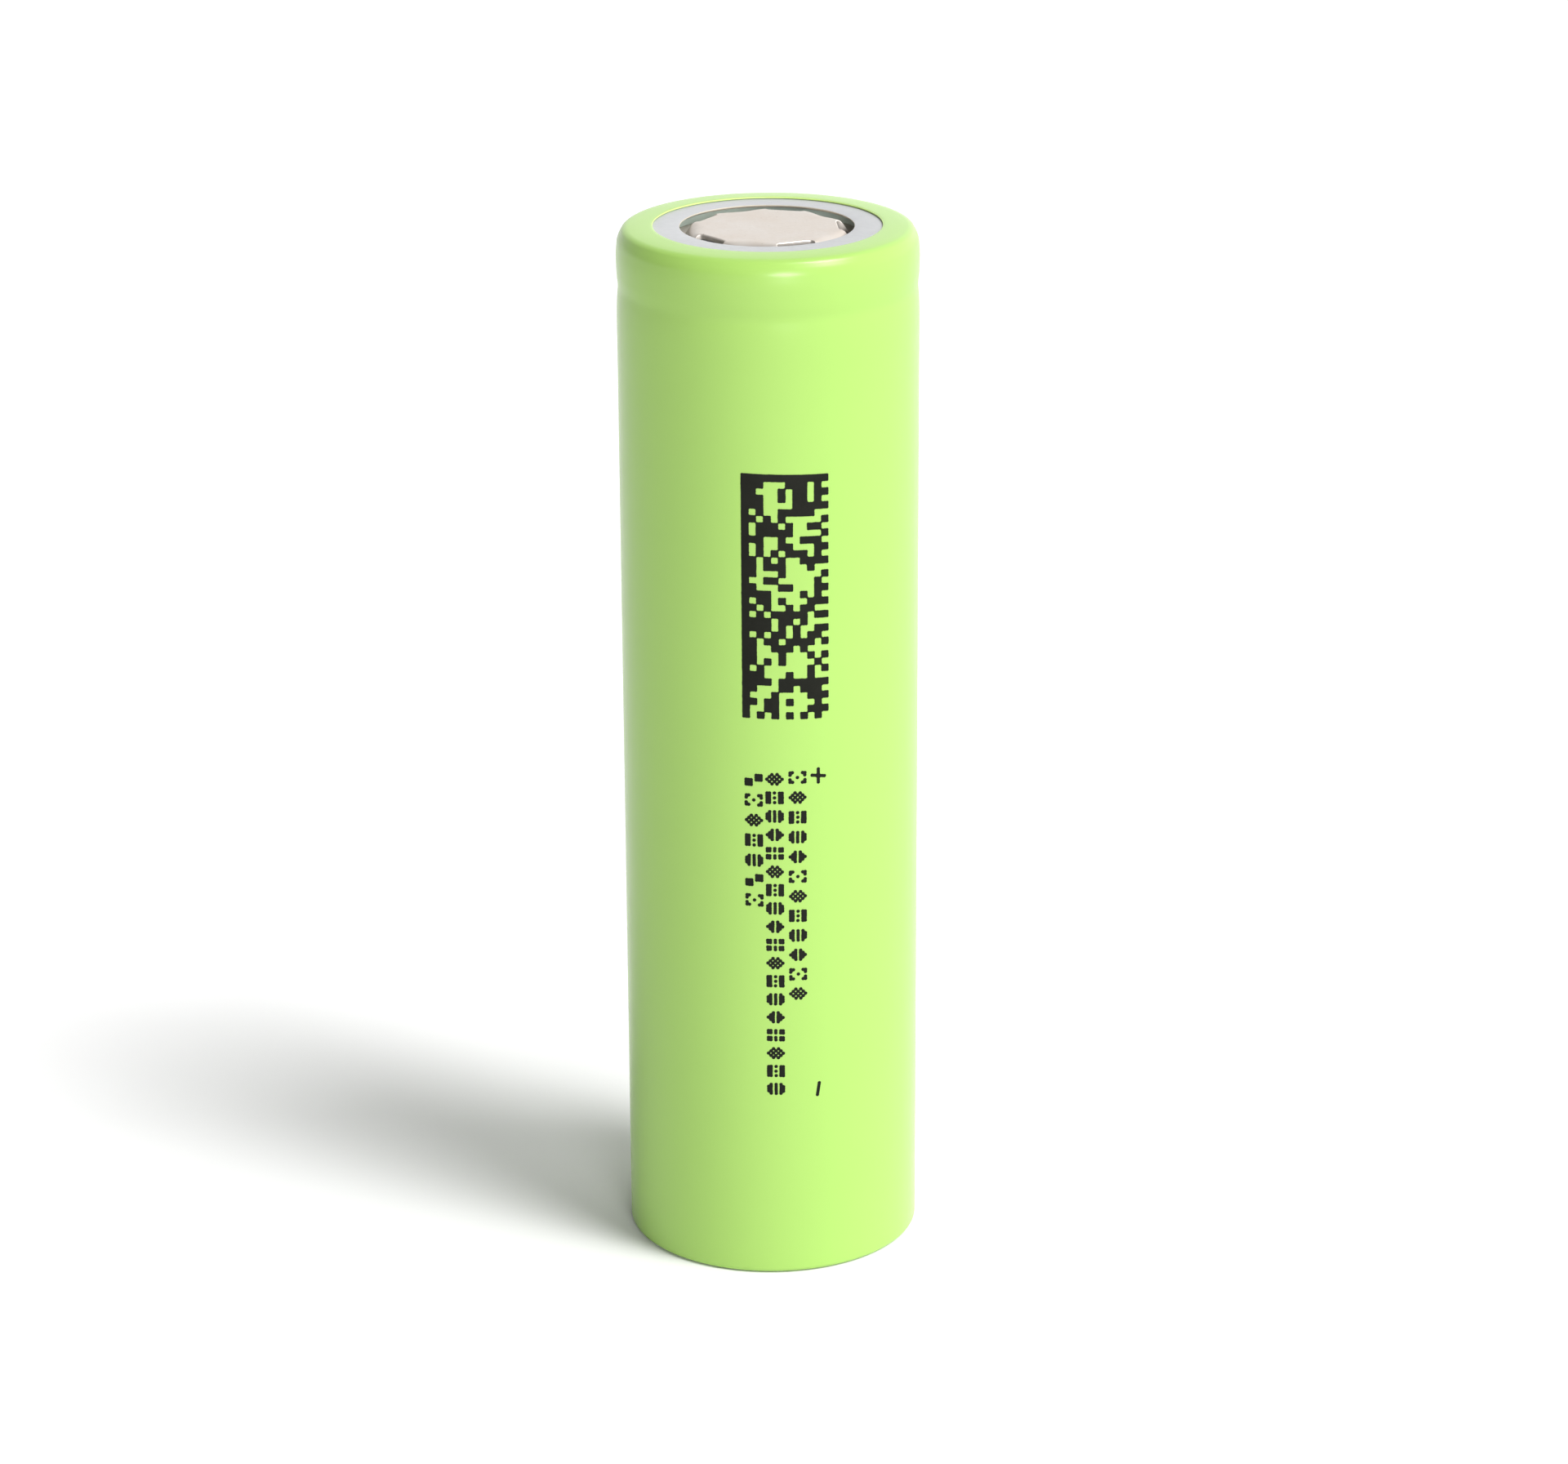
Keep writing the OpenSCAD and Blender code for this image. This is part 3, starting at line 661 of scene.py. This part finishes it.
def ink_patch(name, dots):
    """Closed film of ink over the union of round dots: (distance round the sleeve, height, radius).
    The dots' outline is found on a grid, as the line where the distance outside the nearest dot is zero."""
    dots = np.array(dots, float)
    margin = 3 * INK_GRID
    low = dots[:, :2].min(0) - dots[:, 2].max() - margin
    size = np.ceil((dots[:, :2].max(0) + dots[:, 2].max() + margin - low) / INK_GRID).astype(int) + 1
    field = np.full(size, -2 * INK_GRID)
    for s, z, radius in dots:
        reach = radius + 2 * INK_GRID
        first = np.maximum(np.floor((np.array([s, z]) - reach - low) / INK_GRID).astype(int), 0)
        last = np.minimum(np.ceil((np.array([s, z]) + reach - low) / INK_GRID).astype(int) + 1, size)
        x = low[0] + INK_GRID * np.arange(first[0], last[0])[:, None]
        y = low[1] + INK_GRID * np.arange(first[1], last[1])[None, :]
        part = field[first[0]:last[0], first[1]:last[1]]
        np.maximum(part, radius - np.hypot(x - s, y - z), out=part)
    field[np.abs(field) < 1e-4] = 1e-4
    known, places, faces, walls = {}, [], [], []

    def vertex(key, place):
        if key not in known:
            known[key] = len(places)
            places.append(place)
        return known[key]

    solid = field > 0
    busy = solid[:-1, :-1] | solid[1:, :-1] | solid[1:, 1:] | solid[:-1, 1:]
    for i, j in zip(*np.nonzero(busy)):
        corners = [(i, j), (i + 1, j), (i + 1, j + 1), (i, j + 1)]
        outline = []
        for k in range(4):
            a, b = corners[k], corners[(k + 1) % 4]
            fa, fb = field[a], field[b]
            if fa > 0:
                outline.append((vertex(a, a), False))
            if (fa > 0) != (fb > 0):
                share = fa / (fa - fb)
                place = (a[0] + share * (b[0] - a[0]), a[1] + share * (b[1] - a[1]))
                outline.append((vertex((min(a, b), max(a, b)), place), True))
        faces.append(tuple(v for v, _ in outline))
        for k, (v, crossing) in enumerate(outline):
            after, also_crossing = outline[(k + 1) % len(outline)]
            if crossing and also_crossing:
                walls.append((v, after))
    places = np.array(places, float) * INK_GRID + low
    angle = FRONT + places[:, 0] / SKIN_R
    skin = SKIN_R + film_relief(angle, places[:, 1])
    count = len(places)
    vertices = []
    for lift in (INK_PROUD, -INK_SUNK):
        r = skin + lift
        vertices += list(np.stack([r * np.cos(angle), r * np.sin(angle), places[:, 1]], -1))
    faces = faces + [tuple(count + v for v in reversed(f)) for f in faces] \
        + [(b, a, count + a, count + b) for a, b in walls]
    add_piece(name, vertices, faces, [ink])


CODE_LEFT, CODE_TOP = -1.68, 52.22    # corner of the code, round the sleeve and up it
CODE_COLUMNS, CODE_ROWS = 12, 36
MODULE_W, MODULE_H = 0.438, 0.4245
DOTS_PER_MODULE = 3                   # along each side of a module
CODE_DOT_R = 0.103
CODE_SHARE = 0.51                     # share of the inner modules that are dark
PRINT_SKEW = -0.041                   # the print runs slightly down to the right


def code_dots():
    """Meaningless code: solid left and top borders, alternating right and bottom ones, seeded modules."""
    draw = random.Random(2718)
    dots = []
    for row in range(CODE_ROWS):
        for column in range(CODE_COLUMNS):
            if column == 0 or row == 0:
                dark = True
            elif column == CODE_COLUMNS - 1:
                dark = row % 2 == 0
            elif row == CODE_ROWS - 1:
                dark = column % 2 == 0
            else:
                dark = draw.random() < CODE_SHARE
            if not dark:
                continue
            for i in range(DOTS_PER_MODULE):
                for j in range(DOTS_PER_MODULE):
                    s = CODE_LEFT + (column + (i + 0.5) / DOTS_PER_MODULE) * MODULE_W + draw.gauss(0, 0.005)
                    drop = (row + (j + 0.5) / DOTS_PER_MODULE) * MODULE_H + draw.gauss(0, 0.004)
                    dots.append((s, CODE_TOP - drop + PRINT_SKEW * (s - CODE_LEFT), CODE_DOT_R))
    return dots


# Marks that belong to no alphabet: each string runs down the sleeve, and the next one stands to its left
MARKS = [
    ["##.##", "#...#", ".....", "..#..", ".....", "#...#", "##.##"],
    [".###.", "#####", ".....", "#####", ".....", "#####", ".###."],
    ["#.#.#", "#.#.#", ".....", "#####", ".....", "#.#.#", "#.#.#"],
    ["..#..", ".#.#.", "#.#.#", ".#.#.", "#.#.#", ".#.#.", "..#.."],
    ["..#..", ".###.", "#####", ".....", "#####", ".###.", "..#.."],
    ["###..", "###..", "###..", ".....", "..###", "..###", "..###"],
    ["#####", "#####", ".....", "#.#.#", ".....", "#####", "#####"],
    ["##.##", "##.##", ".....", "##.##", ".....", "##.##", "##.##"],
]
DOT_PITCH = 0.152
DOT_R = 0.112
# Each row: distance of its middle round the sleeve, height of its first mark, advance, number of marks,
# and which mark comes first
MARK_ROWS = [(1.62, 33.05, 1.285, 12, 0), (0.22, 33.0, 1.2, 18, 3), (-1.04, 32.95, 1.3, 7, 5)]


def mark_dots():
    """Rows of meaningless marks that run down the sleeve, turned a quarter."""
    draw = random.Random(31)
    dots = []
    for middle, top, advance, count, first in MARK_ROWS:
        for n in range(count):
            mark = MARKS[(first + 3 * n + n // 5) % len(MARKS)]
            for across, line in enumerate(mark):
                for down, cell in enumerate(line):
                    if cell == "#":
                        s = middle + (3 - across) * DOT_PITCH + draw.gauss(0, 0.005)
                        z = top - n * advance + (2 - down) * DOT_PITCH + draw.gauss(0, 0.005)
                        dots.append((s, z + PRINT_SKEW * (s - middle), DOT_R))
    return dots


def polarity_dots():
    """The plus by the cap's end and the minus by the base."""
    dots = []
    for step in range(-3, 4):
        dots.append((2.92 + step * 0.13, 33.06 - 0.02 * step, DOT_R))
        if step:
            dots.append((2.92, 33.06 + step * 0.14, DOT_R))
    dots += [(2.88 + 0.02 * step, 12.4 + step * 0.13, DOT_R) for step in range(-3, 4)]
    return dots


def make_print():
    ink_patch("print_code", code_dots())
    ink_patch("print_marks", mark_dots())
    ink_patch("print_polarity", polarity_dots())


# ---------------------------------------------------------------- stage, light and camera

def look_from(obj, place, target):
    """Puts an object at a place, with its -Z axis towards the target."""
    obj.location = Vector(place)
    direction = Vector(target) - Vector(place)
    obj.rotation_mode = "QUATERNION"
    obj.rotation_quaternion = direction.to_track_quat("-Z", "Y")


def make_floor():
    """Pale floor, a hair below the cell so that their faces don't coincide."""
    reach, squares, height = 3.0, 12, -0.00002
    across = np.linspace(-reach, reach, squares + 1)
    row = squares + 1
    mesh = bpy.data.meshes.new("floor")
    mesh.from_pydata([(x, y, height) for y in across for x in across], [],
                     [(j * row + i, j * row + i + 1, (j + 1) * row + i + 1, (j + 1) * row + i)
                      for j in range(squares) for i in range(squares)])
    floor = bpy.data.objects.new("floor", mesh)
    bpy.context.scene.collection.objects.link(floor)
    pale = material("pale_floor", (0.84, 0.84, 0.84, 1), rough=(0.9, 1.0), grain=(1, 2), specular=0.0)
    mesh.materials.append(pale)


def key_light(patches, spread_angle):
    """Wide far softbox made of overlapping round patches: (azimuth, elevation, strength) of each.
    Azimuth 0 is straight in front of the cell and grows to the right; all angles are in degrees."""
    for azimuth, elevation, strength in patches:
        a, e = math.radians(azimuth), math.radians(elevation)
        away = Vector((math.sin(a) * math.cos(e), -math.cos(a) * math.cos(e), math.sin(e)))
        data = bpy.data.lights.new("key", "SUN")
        data.angle = math.radians(spread_angle)
        data.energy = strength
        light = bpy.data.objects.new("key", data)
        bpy.context.scene.collection.objects.link(light)
        look_from(light, away, (0, 0, 0))


def make_world(dim, bright):
    """White surroundings, dimmest to the upper front left and brightest to the lower back right."""
    world = bpy.data.worlds.new("studio")
    bpy.context.scene.world = world
    world.use_nodes = True
    tree = world.node_tree
    place = tree.nodes.new("ShaderNodeTexCoord")
    facing = tree.nodes.new("ShaderNodeVectorMath")
    facing.operation = "DOT_PRODUCT"
    facing.inputs[1].default_value = (0.5, 0.6, -0.62)   # towards the brightest part
    reach = 0.8
    fall = tree.nodes.new("ShaderNodeMapRange")
    fall.inputs["From Min"].default_value = -reach
    fall.inputs["From Max"].default_value = reach
    fall.inputs["To Min"].default_value = dim
    fall.inputs["To Max"].default_value = bright
    tree.nodes["Background"].inputs["Color"].default_value = (1, 1, 1, 1)
    tree.links.new(place.outputs["Generated"], facing.inputs[0])
    tree.links.new(facing.outputs["Value"], fall.inputs["Value"])
    tree.links.new(fall.outputs["Result"], tree.nodes["Background"].inputs["Strength"])


def make_camera():
    """Seen from the front and a little above, with a long lens."""
    pitch, yaw, roll = 0.34444, 0.003, -0.0047   # radians; down, right and counter-clockwise
    ahead = Vector((math.sin(yaw) * math.cos(pitch), math.cos(yaw) * math.cos(pitch), -math.sin(pitch)))
    level = ahead.cross(Vector((0, 0, 1))).normalized()
    upright = level.cross(ahead)
    right = math.cos(roll) * level + math.sin(roll) * upright
    up = math.cos(roll) * upright - math.sin(roll) * level
    data = bpy.data.cameras.new("camera")
    data.sensor_width = 36.0
    data.lens = 109.31
    data.clip_start, data.clip_end = 0.01, 20
    camera = bpy.data.objects.new("camera", data)
    bpy.context.scene.collection.objects.link(camera)
    axes = Matrix((right, up, -ahead)).transposed().to_4x4()
    camera.matrix_world = Matrix.Translation((0, -0.2786, 0.1327)) @ axes
    bpy.context.scene.camera = camera


finish_cad_nodes()
make_sleeve()
make_washer()
make_can()
make_gasket()
make_cap()
make_vent()
make_print()
make_floor()
make_world(dim=0.11, bright=1.6)
key_light([(50, 47, 1.0), (60, 41, 0.6), (58, 60, 1.15), (68, 50, 0.75), (13, 12, 1.6)], spread_angle=20)
make_camera()
bpy.context.scene.view_settings.view_transform = "Standard"
